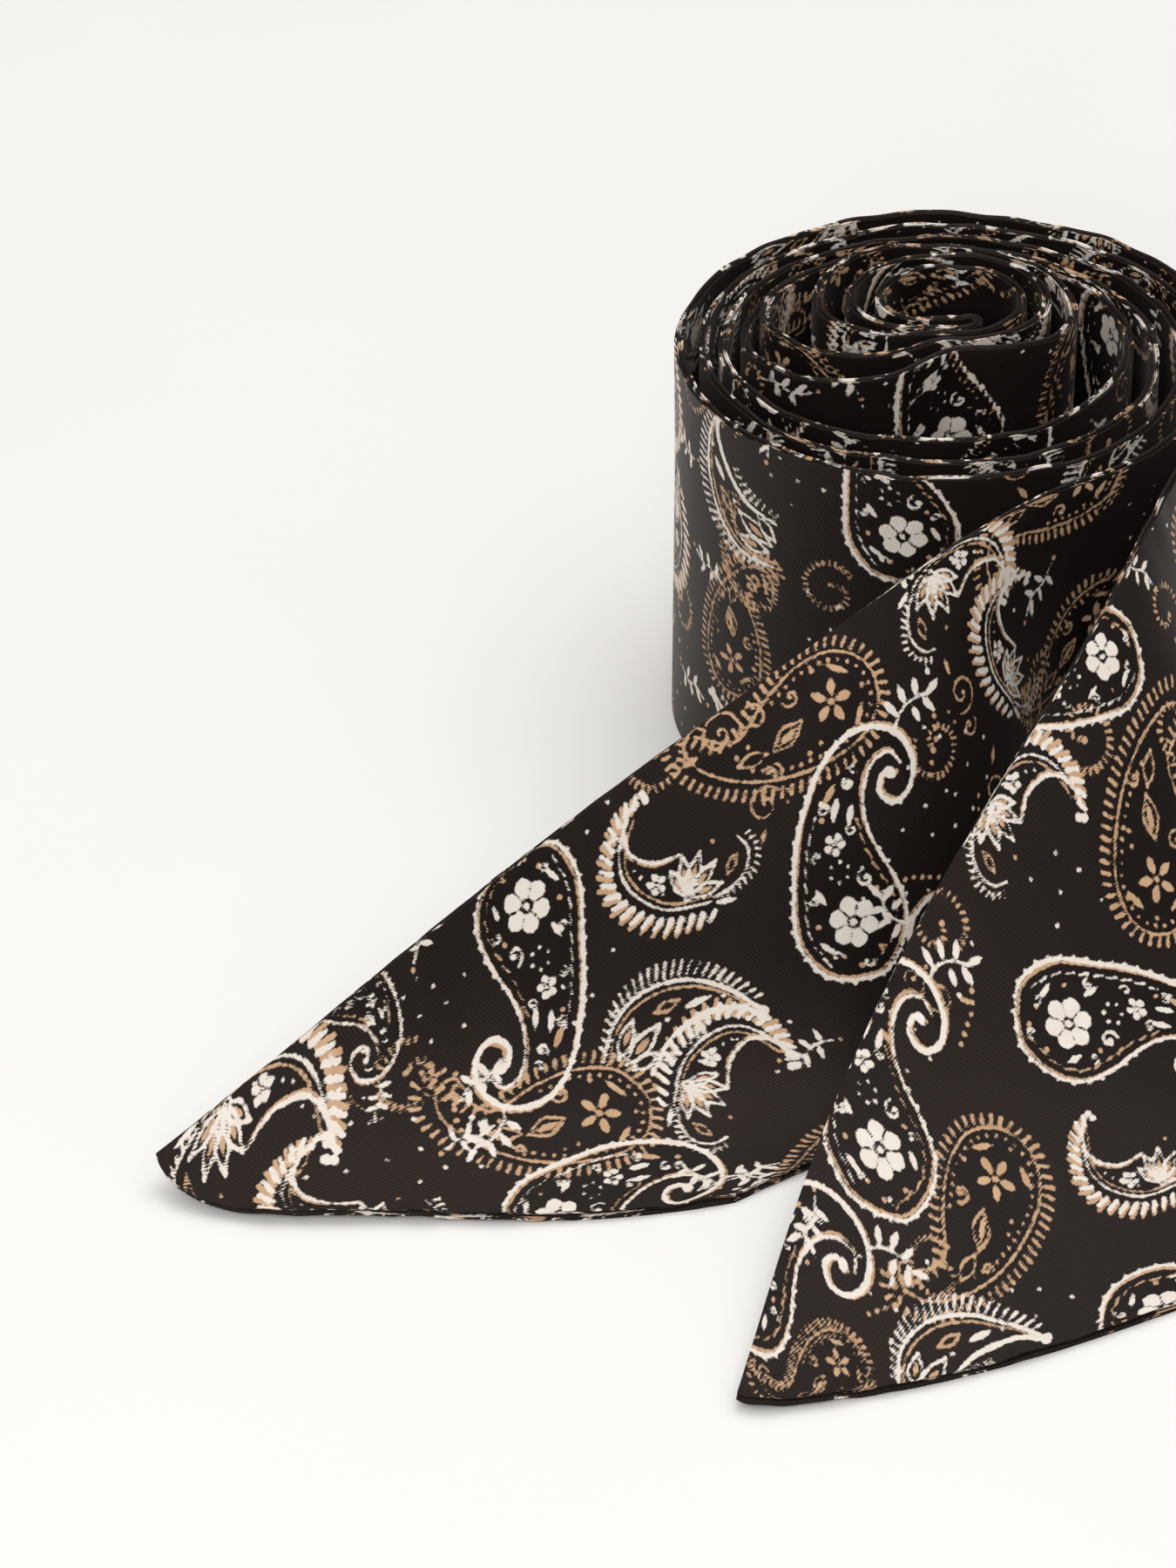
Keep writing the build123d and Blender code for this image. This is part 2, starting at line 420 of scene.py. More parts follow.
# %% What the panels share
CLOTH = WIDTH + 2 * TUCK      # width of a panel when it is flat
print("flat width, mm:", CLOTH)
LINING = 0.45                 # inner face of a panel, as a share of its outer height
slow_bend = wander((0.22, 47, 0.4), (0.13, 21, 1.9))
edge_ripple = wander((0.20, 33, 0.0), (0.12, 13.7, 1.1), (0.07, 8.3, 2.2))
pucker = wander((0.16, 9.5, 0.3), (0.12, 6.1, 1.7), (0.10, 14.0, 0.9))


def across_cloth(q):
    """Cloth q mm across a flat panel: (height in the finished strip, half thickness)."""
    low_in, low_up = edge_swell(q)
    top_in, top_up = edge_swell(CLOTH - q)
    return np.where(q < CLOTH / 2, low_in, WIDTH - top_in), np.minimum(low_up, top_up)


# %% Roll panels
RIM_ROWS = 43.0               # above this the rows are close, where the wall is seen best
ROLL_LINING_PITCH = (1.6, 3.5)


def within_roll(u):
    """0 at the two bending lines, where the roll has to meet the ends, and 1 between them."""
    return smooth(u, 2, 20) * smooth(ROLL_LENGTH - u, 2, 20)


def roll_bend(u, q):
    """The slow waves that both panels and the interlining share in the roll."""
    return 0.6 * slow_bend(u + 0.4 * q) * smooth(q, 3, 25) * within_roll(u)


def make_roll_panel(name, side, first, last, pitch, low_pitch):
    """Part of a roll panel; side is +1 for the front of the strip, -1 for its back."""
    long_pitch = pitch * 1.2 if low_pitch > 1 else pitch
    rows = np.concatenate([places_between(0, RIM_ROWS, low_pitch, True, False)[:-1],
                           places_between(RIM_ROWS, CLOTH, pitch, False, True)])
    fine = (places_between(first, last, long_pitch, False, False), rows)
    coarse = (places_between(first, last, ROLL_LINING_PITCH[0], False, False),
              places_between(0, CLOTH, ROLL_LINING_PITCH[1], True, True))
    piece, place, outer = cut_panel(name, fine, coarse)
    u, q = place[:, 0], place[:, 1]
    height, thick = across_cloth(q)
    height = height + edge_ripple(u) * smooth(q, 30, CLOTH) * within_roll(u)
    offset = side * thick * np.where(outer, 1, LINING) + roll_bend(u, q)
    finish_cloth(piece, roll_place(u, height, offset), u, q - TUCK)
    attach(piece, "roll")
    return piece


# %% The diagonal cut of an end
CUT_SLANT = {body: math.cos(math.atan2(rails[2][1] - rails[0][1], WIDTH)) for body, rails in RAILS.items()}
CUT_BOW = {"left_end": (0.8, 6.0, 55, 13), "right_end": (5.0, 2.4, 34, 24)}    # base, bow, its height, spread
TIP_BLUNT, FOOT_BLUNT = 2.6, 0.8
print("cut slant", CUT_SLANT)


def run_to_cut(body, height, reach, cut_in):
    """How far along its rail the cloth goes, with the bowed cut and the blunt corners."""
    base, bow, middle, spread = CUT_BOW[body]
    bow = base + bow * np.exp(-((height - middle) / spread) ** 2)
    back = cut_in / CUT_SLANT[body]
    run = reach + bow * smooth(reach - back, reach - 45, reach) - back
    blunt = TIP_BLUNT * np.exp((height - WIDTH) / 2.6) + FOOT_BLUNT * np.exp(-height / 2.0)
    return run - blunt * smooth(run, reach - 30, reach)


# %% End panels
UNDER_RIM = 0.75              # how much thicker the under panel is at its cut
FLOOR_GAP = 0.02
END_LINING_PITCH = (1.8, 3.0)


def end_bend(run, height):
    """The slow waves that both panels and the interlining share on an end."""
    return 0.35 * slow_bend(run * 0.8 + 0.9 * height) * smooth(run, 4, 30)


def make_end_panel(name, body, side, pitch, first=0, last=None):
    """Part of an end's panel, from its bending line at 0 to its diagonal cut."""
    slant = CUT_SLANT[body]
    longest = max(rail[1] for rail in RAILS[body]) + TUCK
    cut = last is None
    last = longest if cut else last
    fine = (places_between(first, last, pitch, False, cut), places_between(0, CLOTH, pitch, True, True))
    coarse = (places_between(first, last, END_LINING_PITCH[0], False, cut),
              places_between(0, CLOTH, END_LINING_PITCH[1], True, True))
    piece, place, outer = cut_panel(name, fine, coarse)
    back, q = longest - place[:, 0], place[:, 1]
    height, thick = across_cloth(q)
    across = height / WIDTH
    reach = end_length(body, across)
    whole = reach * slant + TUCK
    stretch = (whole - SEAM_REACH) / (longest - SEAM_REACH)
    to_cut = np.where(back <= SEAM_REACH, back, SEAM_REACH + (back - SEAM_REACH) * stretch)
    cut_in, cut_up = edge_swell(to_cut)
    run = run_to_cut(body, height, reach, cut_in)
    thick = np.minimum(thick, cut_up) * np.where(outer, 1, LINING)
    if (side > 0) == (body == "left_end"):
        thick = thick * (1 + UNDER_RIM * np.exp(-to_cut / 4))
    rumple = pucker(height + 0.2 * run) * np.exp(-to_cut / 7)
    rumple += 0.7 * pucker(run + 5) * (np.exp(-q / 6) + np.exp(-(CLOTH - q) / 6))
    offset = side * thick + rumple * smooth(run, 4, 30) + end_bend(run, height)
    position = end_place(body, run / reach, across, offset)
    position[:, 2] = np.maximum(position[:, 2], FLOOR_GAP)
    flat_run = (whole - to_cut) / slant
    finish_cloth(piece, position, -flat_run if body == "left_end" else ROLL_LENGTH + flat_run, q - TUCK)
    return piece


# %% [markdown]
# ## Interlining and seam threads
# Between the panels lies a soft interlining that stops short of the seams,
# and the seams are sewn with a thread all round. The interlining is the same
# kind of closed blank as a panel. A thread is a curve with a round bevel made
# a mesh, because that keeps it round through every bend. Both follow the same
# waves as the panels, so they stay inside when the tie is turned or bent.

# %% Interlining and threads
INTERLINING_INSET, INTERLINING_HALF = 4.0, 0.12     # from the long seams, and half its thickness
INTERLINING_STOP = 5.0                              # from the cuts
THREAD_INSET, THREAD_RADIUS = 1.0, 0.12
CUT_THREAD_INSET = 2.0


def make_interlining(name, body=None):
    """Thin closed sheet between the panels, in the roll or in an end."""
    longest = ROLL_LENGTH if body is None else max(rail[1] for rail in RAILS[body]) - INTERLINING_STOP
    columns = places_between(0, longest, 1.6, False, False)
    rows = np.linspace(INTERLINING_INSET, WIDTH - INTERLINING_INSET, 20)
    piece, place, outer = cut_panel(name, (columns, rows), (columns, rows))
    u, height = place[:, 0], place[:, 1]
    offset = np.where(outer, INTERLINING_HALF, -INTERLINING_HALF)
    if body is None:
        position = roll_place(u, height, offset + roll_bend(u, height + TUCK))
        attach(piece, "roll")
    else:
        reach = end_length(body, height / WIDTH)
        run = u / longest * (reach - INTERLINING_STOP)
        position = end_place(body, run / reach, height / WIDTH, offset + end_bend(run, height))
    finish_cloth(piece, position, u, height)
    return piece


# %% A round thread
def make_thread(name, path):
    """Round closed thread along a path, by a curve with a round bevel and capped ends."""
    line = bpy.data.curves.new(name, "CURVE")
    line.dimensions = "3D"
    line.bevel_depth, line.bevel_resolution, line.use_fill_caps = THREAD_RADIUS * MM, 2, True
    spline = line.splines.new("POLY")
    spline.points.add(len(path) - 1)
    spline.points.foreach_set("co", np.column_stack([(path + AXIS) * MM, np.ones(len(path))]).ravel())
    maker = new_object(name + "_line", line)
    mesh = bpy.data.meshes.new_from_object(maker.evaluated_get(bpy.context.evaluated_depsgraph_get()))
    bpy.data.objects.remove(maker)
    turned = bmesh.new()
    turned.from_mesh(mesh)
    bmesh.ops.remove_doubles(turned, verts=turned.verts, dist=1e-7)
    bmesh.ops.recalc_face_normals(turned, faces=turned.faces)
    print(name, "open edges", sum(not e.is_manifold for e in turned.edges))
    turned.to_mesh(mesh)
    turned.free()
    mesh.polygons.foreach_set("use_smooth", np.ones(len(mesh.polygons), bool))
    return new_object(name, mesh)


# %% The threads of an end
LONG_SEAMS = (("bottom_seam", THREAD_INSET), ("top_seam", WIDTH - THREAD_INSET))


def make_end_threads(body, side):
    """The two long seam threads and the cut's thread of an end."""
    made = {}
    for name, height in LONG_SEAMS:
        along = np.linspace(0.01, 0.98, 110)
        across = np.full(len(along), height / WIDTH)
        offset = end_bend(along * end_length(body, across), height)
        made[f"{side}_{name}"] = make_thread(f"{side}_{name}_thread", end_place(body, along, across, offset))
    across = np.linspace(0.03, 0.97, 60)
    reach = end_length(body, across)
    run = reach - CUT_THREAD_INSET
    path = end_place(body, run / reach, across, end_bend(run, across * WIDTH))
    made[f"{side}_cut_seam"] = make_thread(f"{side}_cut_seam_thread", path)
    return made


# %% [markdown]
# ## Drawing the print
# The print is a tossed paisley. It could be an image, but then its edges would
# blur close up. Here each motif is drawn flat with a round pen, in millimetres:
# curves with a width that swells and thins, rope stitches, beads, petals and
# small spirals, in a white ink and a tan one. "clear" takes the ink off again.

# %% Pen strokes
def curve(points, steps=7):
    """Smooth path through the points."""
    p = np.array(points, float)
    p = np.vstack([2 * p[0] - p[1], p, 2 * p[-1] - p[-2]])
    t = np.linspace(0, 1, steps, endpoint=False)[:, None]
    parts = []
    for a, b, c, d in zip(p[:-3], p[1:-2], p[2:-1], p[3:]):
        parts.append(0.5 * (2 * b + (c - a) * t + (2 * a - 5 * b + 4 * c - d) * t**2
                            + (3 * b - a - 3 * c + d) * t**3))
    return np.vstack(parts + [p[-2:-1]])


FINENESS = 0.66     # share of the widths noted below that the pen draws


def stroke(ink, path, start, end=None, belly=0.0):
    """One pen stroke along a path, with its half width at the start, middle and end."""
    path = np.asarray(path, float)
    end = start if end is None else end
    share = np.linspace(0, 1, len(path))
    width = start + (end - start) * share + belly * np.sin(np.pi * share)
    return ink, path, FINENESS * width + 0.03


def pen(ink, points, start, end=None, belly=0.0):
    return [stroke(ink, curve(points), start, end, belly)]


def dots(ink, points, size):
    return [stroke(ink, [p, (p[0] + 0.05, p[1] + 0.05)], size * 1.25) for p in points]


# %% Stitches and beads along a line
def stations(points, spacing, shift=0.0):
    """(point, direction) at even spaces along a curve."""
    path = curve(points, 12)
    travel = distances(path)
    places = np.arange(shift, travel[-1], spacing)
    x, y = (np.interp(places, travel, path[:, k]) for k in range(2))
    x2, y2 = (np.interp(places + 0.3, travel, path[:, k]) - np.interp(places - 0.3, travel, path[:, k])
              for k in range(2))
    size = np.hypot(x2, y2) + 1e-9
    return [((a, b), (c / n, d / n)) for a, b, c, d, n in zip(x, y, x2, y2, size)]


def rope(ink, points, spacing, reach, width, lean=0.5, shift=0.0, taper=0.6):
    """Slanting stitches across a curve, longest in the middle of it."""
    spots = stations(points, spacing, shift)
    made = []
    for i, ((x, y), (c, d)) in enumerate(spots):
        size = reach * (taper + (1 - taper) * math.sin(math.pi * (i + 0.5) / len(spots)))
        a, b = -d * size + c * lean, c * size + d * lean
        ends = [(x - a * 0.5, y - b * 0.5), (x + a * 0.5, y + b * 0.5)]
        made.append(stroke(ink, ends, width * 0.8, width))
    return made


def beads(ink, points, spacing, size, out=0.0, shift=0.0):
    return [s for (x, y), (c, d) in stations(points, spacing, shift)
            for s in dots(ink, [(x - d * out, y + c * out)], size)]


# %% Flowers, leaves and spirals
def flower(ink, centre, size, turn=0.3, petals=5):
    """Open flower with round petals, a dark ring and a light eye."""
    made = []
    for k in range(petals):
        a = turn + 2 * math.pi * k / petals
        near = (centre[0] + 0.40 * size * math.cos(a), centre[1] + 0.40 * size * math.sin(a))
        far = (centre[0] + 0.58 * size * math.cos(a), centre[1] + 0.58 * size * math.sin(a))
        made.append(stroke(ink, [near, far], 0.26 * size, 0.46 * size))
    return made + dots("clear", [centre], 0.28 * size) + dots(ink, [centre], 0.13 * size)


def leaf(ink, base, tip, width, line=0.32, filled=False):
    """A leaf from its base to its tip: solid, or two bowed lines."""
    base, tip = np.array(base, float), np.array(tip, float)
    middle = (base + tip) / 2
    if filled:
        return [stroke(ink, curve([base, middle, tip]), 0.18, 0.12, width / 2)]
    side = np.array([-(tip - base)[1], (tip - base)[0]]) / np.linalg.norm(tip - base) * width / 2
    return pen(ink, [base, middle + side, tip], line) + pen(ink, [base, middle - side, tip], line)


def leaves(ink, rows):
    """Solid leaves, one for each base, tip and width."""
    return [s for base, tip, width in rows for s in leaf(ink, base, tip, width, filled=True)]


def curl(ink, centre, size, start, turns, width, thin=0.25, way=1):
    """Small spiral that closes on its centre."""
    a = np.linspace(0, 2 * math.pi * turns, 26)
    r = size * (1 - a / a[-1]) ** 0.8
    a = start + way * a
    path = np.stack([centre[0] + r * np.cos(a), centre[1] + r * np.sin(a)], -1)
    return [stroke(ink, path, thin, width)]


# %% [markdown]
# ## The motifs
# A great drop with a flower in its bulb and a curling tail, a roped crescent
# that holds a lotus, a tan drop edged with beads, a hatched fern that hooks
# over, and small curls to fill the ground. Each is drawn once, round its own
# middle, then turned, mirrored and scaled where it is tossed.

# %% The great drop
DROP_LEFT = [(-8.6, 0.5), (-7.4, 5), (-2.5, 8.6), (5, 9.2), (12.7, 8.9), (20.6, 6.6), (25.3, 3), (26.9, -1.4),
             (25.9, -5.8), (22.3, -8.6), (18.3, -8.3), (16.5, -5.8), (18.0, -3.5), (20.4, -3.9), (20.2, -5.6)]
DROP_RIGHT = [(-8.6, 0.5), (-7.6, -4.5), (-3, -7.9), (1.8, -8.4), (6.6, -6.2), (10.8, -3.2), (14.5, -1.4),
              (18.7, -0.9), (22.2, -2.2), (23.4, -4.9), (21.8, -6.7)]


def great_drop():
    made = pen("tan", [(x + 0.4, y - 0.4) for x, y in DROP_LEFT], 0.34, 0.45)
    made += pen("tan", [(x + 0.4, y + 0.35) for x, y in DROP_RIGHT], 0.34, 0.3)
    made += pen("white", DROP_LEFT, 0.36, 0.55, 0.14) + pen("white", DROP_RIGHT, 0.38, 0.3)
    made += beads("white", DROP_LEFT[:8], 2.1, 0.34, 0.34)
    made += beads("white", DROP_RIGHT[:6], 2.3, 0.32, -0.32)
    inner_left = [(-5.6, 4.4), (-1.5, 6.8), (5, 7.4), (12, 7.1), (18.5, 5.1)]
    inner_right = [(-6.2, -3.0), (-2.2, -6.2), (2.0, -6.7), (6, -4.7), (10.2, -1.9), (15, 0.1)]
    made += rope("white", inner_left, 2.3, 0.3, 0.2, 1.5) + rope("tan", inner_right, 2.3, 0.3, 0.2, 1.5)
    made += dots("white", [(20.6, -5.0)], 0.95)
    made += flower("white", (0, 0), 4.3, petals=6)
    made += flower("white", (11.2, 3.2), 1.9, 0.9)
    for turn in range(6):
        a = turn * 1.05
        made += dots("white", [(7.2 + 1.5 * math.cos(a), 2.2 + 1.5 * math.sin(a))], 0.28)
    for x, y, way in ((3.4, -4.8, 1), (9.6, 5.7, -1), (13.2, 0.6, 1), (-5.9, -1.9, -1), (-4.9, 2.9, 1),
                      (16.4, 5.2, 1), (21.8, 0.9, -1)):
        made += curl("white", (x, y), 0.95, x + y, 0.8, 0.26, 0.16, way)
    specks_of_tan = [(-5.0, 1.8), (-3.9, -4.1), (-0.4, 5.4), (4.6, -3.6), (14.6, 5.4), (-6.4, -0.9)]
    made += dots("tan", specks_of_tan, 0.42)
    made += leaves("white", [((-4.4, 3.0), (-2.7, 5.3), 0.9), ((2.8, 4.3), (4.9, 5.8), 0.9),
                             ((1.5, -4.5), (-0.6, -5.7), 0.9), ((13.6, 1.2), (16.6, 0.8), 1.1),
                             ((14.4, 3.6), (17.4, 3.2), 1.2)])
    made += leaves("tan", [((16.8, 5.2), (19.6, 3.6), 1.1)])
    made += curl("white", (6.3, -1.9), 1.5, 0.4, 1.0, 0.4) + curl("white", (3.6, 6.0), 0.9, 2.0, 0.9, 0.32)
    made += curl("white", (19.6, 1.5), 1.0, 1.0, 1.0, 0.34)
    made += pen("white", [(26.4, -5.6), (28.6, -6.6), (30.2, -8.6), (30.8, -11.2)], 0.3)
    spray = [((28.2, -6.0), (30.0, -3.9)), ((29.6, -7.4), (32.2, -6.2)), ((30.4, -9.2), (33.2, -9.0)),
             ((30.8, -11.2), (32.6, -13.2)), ((30.2, -10.4), (28.4, -12.4)), ((29.2, -8.6), (27.2, -9.8))]
    made += leaves("white", [(base, tip, 1.25) for base, tip in spray])
    made += beads("tan", [(27.6, -12.4), (25.0, -12.8), (22.2, -12.2), (19.4, -11.6)], 1.6, 0.42)
    return made + dots("white", [(26.2, -10.6), (33.8, -11.4)], 0.42)


print("great drop:", len(great_drop()), "strokes")


# %% The roped crescent with its lotus
CRESCENT = [(-9.6, 11.2), (-12.2, 9.2), (-13.6, 6.0), (-14.0, 2.2), (-12.6, -1.6), (-9.0, -4.4),
            (-3.7, -6.1), (3.4, -5.2)]
CRESCENT_IN = [(-9.8, 11.4), (-11.2, 8.8), (-11.3, 6.1), (-9.9, 3.8), (-6.1, 2.6), (-1.9, 3.6)]
CRESCENT_RIB = [(-10.9, 9.2), (-11.9, 5.6), (-11.8, 2.4), (-10.2, -0.4), (-7.2, -2.6), (-3.0, -3.9), (3.2, -3.2)]


def crescent():
    made = rope("tan", [(x - 0.3, y - 0.5) for x, y in CRESCENT], 1.75, 2.1, 0.66, 0.9, 0.8)
    made += rope("white", CRESCENT, 1.75, 1.9, 0.60, 0.9, 0.6)
    made += pen("white", CRESCENT_RIB, 0.26)
    made += pen("tan", [(x * 0.93 + 0.1, y * 0.9 + 0.4) for x, y in CRESCENT_RIB], 0.2)
    made += pen("tan", [(x - 0.3, y - 0.3) for x, y in CRESCENT_IN], 0.26)
    made += pen("white", CRESCENT_IN, 0.3, 0.24, 0.12)
    made += dots("white", [(-9.0, 11.9), (-8.4, 11.1)], 0.7)
    base = np.array((-0.6, -2.4))
    lotus = (((-3.6, 1.4), 1.7), ((-1.8, 3.4), 1.9), ((1.0, 3.9), 2.0), ((3.6, 2.4), 1.8), ((4.8, -0.6), 1.6))
    for tip, width in lotus:
        vein = base * 0.7 + np.array(tip) * 0.3, base * 0.3 + np.array(tip) * 0.7
        made += leaf("tan", *vein, 0.8, filled=True)
        made += leaf("white", base, tip, width, 0.3)
    made += flower("white", (-5.6, -0.3), 1.7, 0.7)
    made += pen("white", [(3.6, -2.6), (6.4, -1.2), (8.4, 1.2), (8.4, 4.0), (6.6, 5.6)], 0.24)
    wing = [(4.8, -2.6), (7.6, -1.2), (9.8, 1.2), (9.8, 4.4), (7.6, 6.6)]
    made += rope("white", wing, 1.0, 0.8, 0.24, 0.2, taper=0.9)
    made += leaf("tan", (5.4, 0.4), (6.8, 3.4), 1.2, 0.22)
    made += leaves("white", [((4.0, -3.4), (7.0, -3.0), 1.0)])
    made += beads("white", [(-9.4, 1.8), (-7.6, 0.2), (-3.4, -2.4)], 1.5, 0.28)
    made += dots("tan", [(-8.8, 2.8), (2.8, 5.1)], 0.3)
    return made + dots("white", [base], 0.7) + dots("clear", [base], 0.3)


print("crescent:", len(crescent()), "strokes")


# %% The tan drop edged with beads
BEAD_DROP = [(22.5, -4.6), (16.5, -1.0), (10, -4.6), (3.6, -7.0), (-3, -6.8), (-7.4, -2.6), (-7.2, 3.2),
             (-2.6, 7.2), (4.2, 8.2), (11.4, 7.4), (18.4, 4.4), (23.6, -0.2), (24.6, -4.4), (22.2, -6.2),
             (20.6, -4.8)]


def bead_drop():
    made = rope("tan", [(x * 1.06, y * 1.1) for x, y in BEAD_DROP], 1.45, 1.25, 0.40, 0.25, taper=0.9)
    made += pen("tan", [(x * 0.94, y * 0.9) for x, y in BEAD_DROP], 0.25)
    made += beads("tan", [(x * 0.82 + 0.2, y * 0.76) for x, y in BEAD_DROP[2:11]], 1.5, 0.3)
    for turn in range(5):
        a = 0.6 + 2 * math.pi * turn / 5
        ray = np.array((math.cos(a), math.sin(a)))
        made += leaf("tan", 0.9 * ray, 3.1 * ray, 1.5, filled=True)
    made += dots("tan", [(0, 0)], 0.5)
    made += leaf("tan", (5.0, 0.6), (10.6, 2.8), 2.6, 0.26) + leaf("tan", (11.4, 2.6), (16.2, 2.4), 1.8, 0.25)
    made += curl("tan", (5.6, -3.0), 1.4, 0.2, 1.0, 0.36) + curl("tan", (12.0, 5.0), 1.0, 2.2, 0.9, 0.3)
    made += leaves("tan", [((6.2, 1.2), (9.4, 2.4), 1.0), ((-4.2, 2.2), (-2.4, 4.8), 1.0),
                           ((-3.8, -2.6), (-1.0, -4.8), 1.0)])
    return made + dots("tan", [(3.4, 4.6), (5.4, 5.2), (1.2, -4.9), (-5.2, -0.2)], 0.36)


print("bead drop:", len(bead_drop()), "strokes")


# %% The hooked fern
FERN = [(-11, -4.6), (-8.8, 1.6), (-3.8, 5.8), (3.0, 7.2), (9.4, 5.6), (14.2, 2.6)]


def hooked_fern():
    made = rope("white", [(x, y + 0.9) for x, y in FERN], 1.35, 2.2, 0.34, 0.7, taper=0.5)
    made += pen("white", [(x, y - 0.9) for x, y in FERN], 0.34, 0.5)
    made += pen("tan", [(x + 0.5, y - 1.9) for x, y in FERN], 0.26)
    made += dots("white", [(14.9, 1.2), (14.4, 0.4)], 0.85)
    made += pen("white", [(-3.4, -8.0), (0.0, -2.6), (5.0, 0.8), (10.4, 2.0), (14.6, 0.8)], 0.4, 0.6, 0.15)
    made += rope("white", [(-2.0, -8.4), (1.6, -3.6), (6.4, -0.8)], 1.3, 1.6, 0.32, 0.4)
    bud = (((-8.6, -5.4), (-6.0, 0.6), 2.2), ((-7.4, -6.2), (-1.6, -0.2), 2.6), ((-6.4, -7.0), (-2.2, -4.6), 2.0))
    for base, tip, width in bud:
        made += leaf("white", base, tip, width, 0.32)
    made += leaves("tan", [((-7.6, -3.2), (-6.6, -0.8), 0.9), ((-5.8, -4.6), (-3.6, -2.4), 1.1)])
    made += leaf("tan", (-2.6, 1.4), (1.6, 3.4), 1.4, 0.26)
    made += leaves("white", [((2.6, 2.2), (6.6, 3.8), 1.3)])
    return made + dots("white", [(-0.4, 0.4), (8.6, 3.8), (-9.6, -2.4)], 0.4)


print("fern:", len(hooked_fern()), "strokes")


# %% Small fillers
def bead_curl():
    path = [(4.8, 0.4), (3.4, 3.4), (0.0, 4.5), (-3.6, 2.8), (-4.6, -1.0), (-2.4, -4.2), (1.2, -4.2),
            (2.6, -1.8), (0.8, 0.0)]
    return rope("tan", path, 1.15, 0.9, 0.34, 0.1, taper=0.8) + dots("tan", [(0.4, 0.0)], 0.6)


def thin_swirl():
    made = curl("tan", (0, 0), 3.4, 0.0, 1.4, 0.35, 0.2) + curl("tan", (5.2, 2.2), 1.9, 2.4, 1.1, 0.3, 0.2, -1)
    made += leaves("tan", [((-2.8, -3.0), (-5.2, -4.2), 1.0)])
    return made + dots("tan", [(3.0, -3.0), (4.6, -1.6)], 0.34)


def sprig():
    made = pen("white", [(-4, -1), (-1, 0.4), (2, 0.2), (4.6, 1.6)], 0.26)
    made += leaves("white", [((-2.2, 0), (-2.6, 2.4), 1.1), ((0, 0.4), (0.6, 2.8), 1.1),
                             ((2.2, 0.4), (3.6, 3.0), 1.1), ((-1.2, 0), (-0.2, -2.2), 1.1),
                             ((1.4, 0.2), (2.8, -1.8), 1.1)])
    return made + dots("tan", [(5.6, 2.2), (-4.8, -1.6)], 0.45)


def specks():
    return dots("white", [(0, 0), (4.4, 1.6), (1.6, 5.0), (-3.8, 3.2), (-2.6, -3.8), (6.2, -3.4)], 0.34)


# %% The strokes of each motif, and the room that it takes
MOTIFS = {"specks": (specks(), 4.2), "drop": (great_drop(), 17), "crescent": (crescent(), 13),
          "bead_drop": (bead_drop(), 16), "fern": (hooked_fern(), 13), "curl": (bead_curl(), 6),
          "swirl": (thin_swirl(), 6), "sprig": (sprig(), 5)}
print("strokes", {name: len(strokes) for name, (strokes, _) in MOTIFS.items()})

# %% [markdown]
# ## Tossing the motifs
# The ends and the near side of the roll show most of the print, so there the
# motifs are listed one by one. The rest is tossed by a seeded throw that leaves
# a little air round each one. u runs along the strip in mm: it is negative on
# the left end, and counts from the right bending line on the right end.

# %% Where the motifs lie: name, u, v, turn in degrees, mirrored, size
LEFT_END_TOSS = [
    ("drop", -108, 59, -116, 1, 1.0), ("drop", -66, 28, 61, 1, 1.0), ("drop", -131, 19, -18, 1, 0.95),
    ("crescent", -84, 47, -30, 1, 1.0), ("crescent", -22, 41, -70, 1, 1.0), ("crescent", -32, 61, -164, 1, 1.0),
    ("crescent", -159, 61.5, -173, 1, 1.2), ("crescent", -151, 38, -58, 1, 1.0), ("fern", -97, 32, -34, 1, 0.95),
    ("crescent", -100, 21, -148, 1, 1.0), ("bead_drop", -55, 57, 172, 1, 1.0), ("bead_drop", -114, 28, 142, 1, 1.05),
    ("curl", -133, 51, 40, 1, 0.9), ("bead_drop", 1, 40, 205, 1, 0.9), ("drop", -138, 68, -72, 1, 0.55),
    ("swirl", -70, 50, 20, 1, 0.8), ("curl", -44, 42, 120, 1, 0.8), ("swirl", -36, 30, 200, 1, 0.9),
    ("drop", -38, 10, 160, 1, 0.9), ("sprig", -75, 8, 30, 1, 1.0), ("bead_drop", -12, 15, 100, 1, 0.9),
]
RIGHT_END_TOSS = [
    ("drop", 132, 57, 161, -1, 1.0), ("drop", 96, 40, -120, -1, 1.0), ("crescent", 110, 19.4, 230, -1, 0.88),
    ("crescent", 80, 63, -5, -1, 0.95), ("bead_drop", 124, 41, 8, -1, 1.0), ("bead_drop", 69, 38, 150, -1, 1.05),
    ("fern", 151, 38, 238, -1, 0.95), ("drop", 166, 69, -156, -1, 0.95), ("bead_drop", 163, 53, 30, -1, 0.65),
    ("curl", 62, 58, 30, -1, 0.9), ("curl", 141, 45, 200, -1, 0.8), ("drop", 51, 62, 38, -1, 0.85),
    ("crescent", 30, 30, 130, -1, 1.0), ("drop", 134, 12, 20, -1, 1.0), ("bead_drop", 88, 12, 250, -1, 1.0),
    ("crescent", 60, 14, 20, -1, 1.0), ("bead_drop", 18, 54, 300, -1, 0.9), ("swirl", 106, 58, 100, -1, 0.8),
    ("sprig", 148, 18, 40, -1, 1.0), ("crescent", 12, 14, 210, -1, 1.0),
]
ROLL_FRONT_TOSS = [
    ("drop", 1049, 55, 90, -1, 0.95), ("fern", 1077, 53, 75, -1, 0.95), ("bead_drop", 1077, 24, 100, -1, 0.85),
    ("bead_drop", 1073, 40, 60, -1, 0.55), ("curl", 1060, 44, 150, -1, 0.85), ("crescent", 1098, 40, 80, -1, 1.0),
    ("swirl", 1052, 32, 0, -1, 0.8),
]
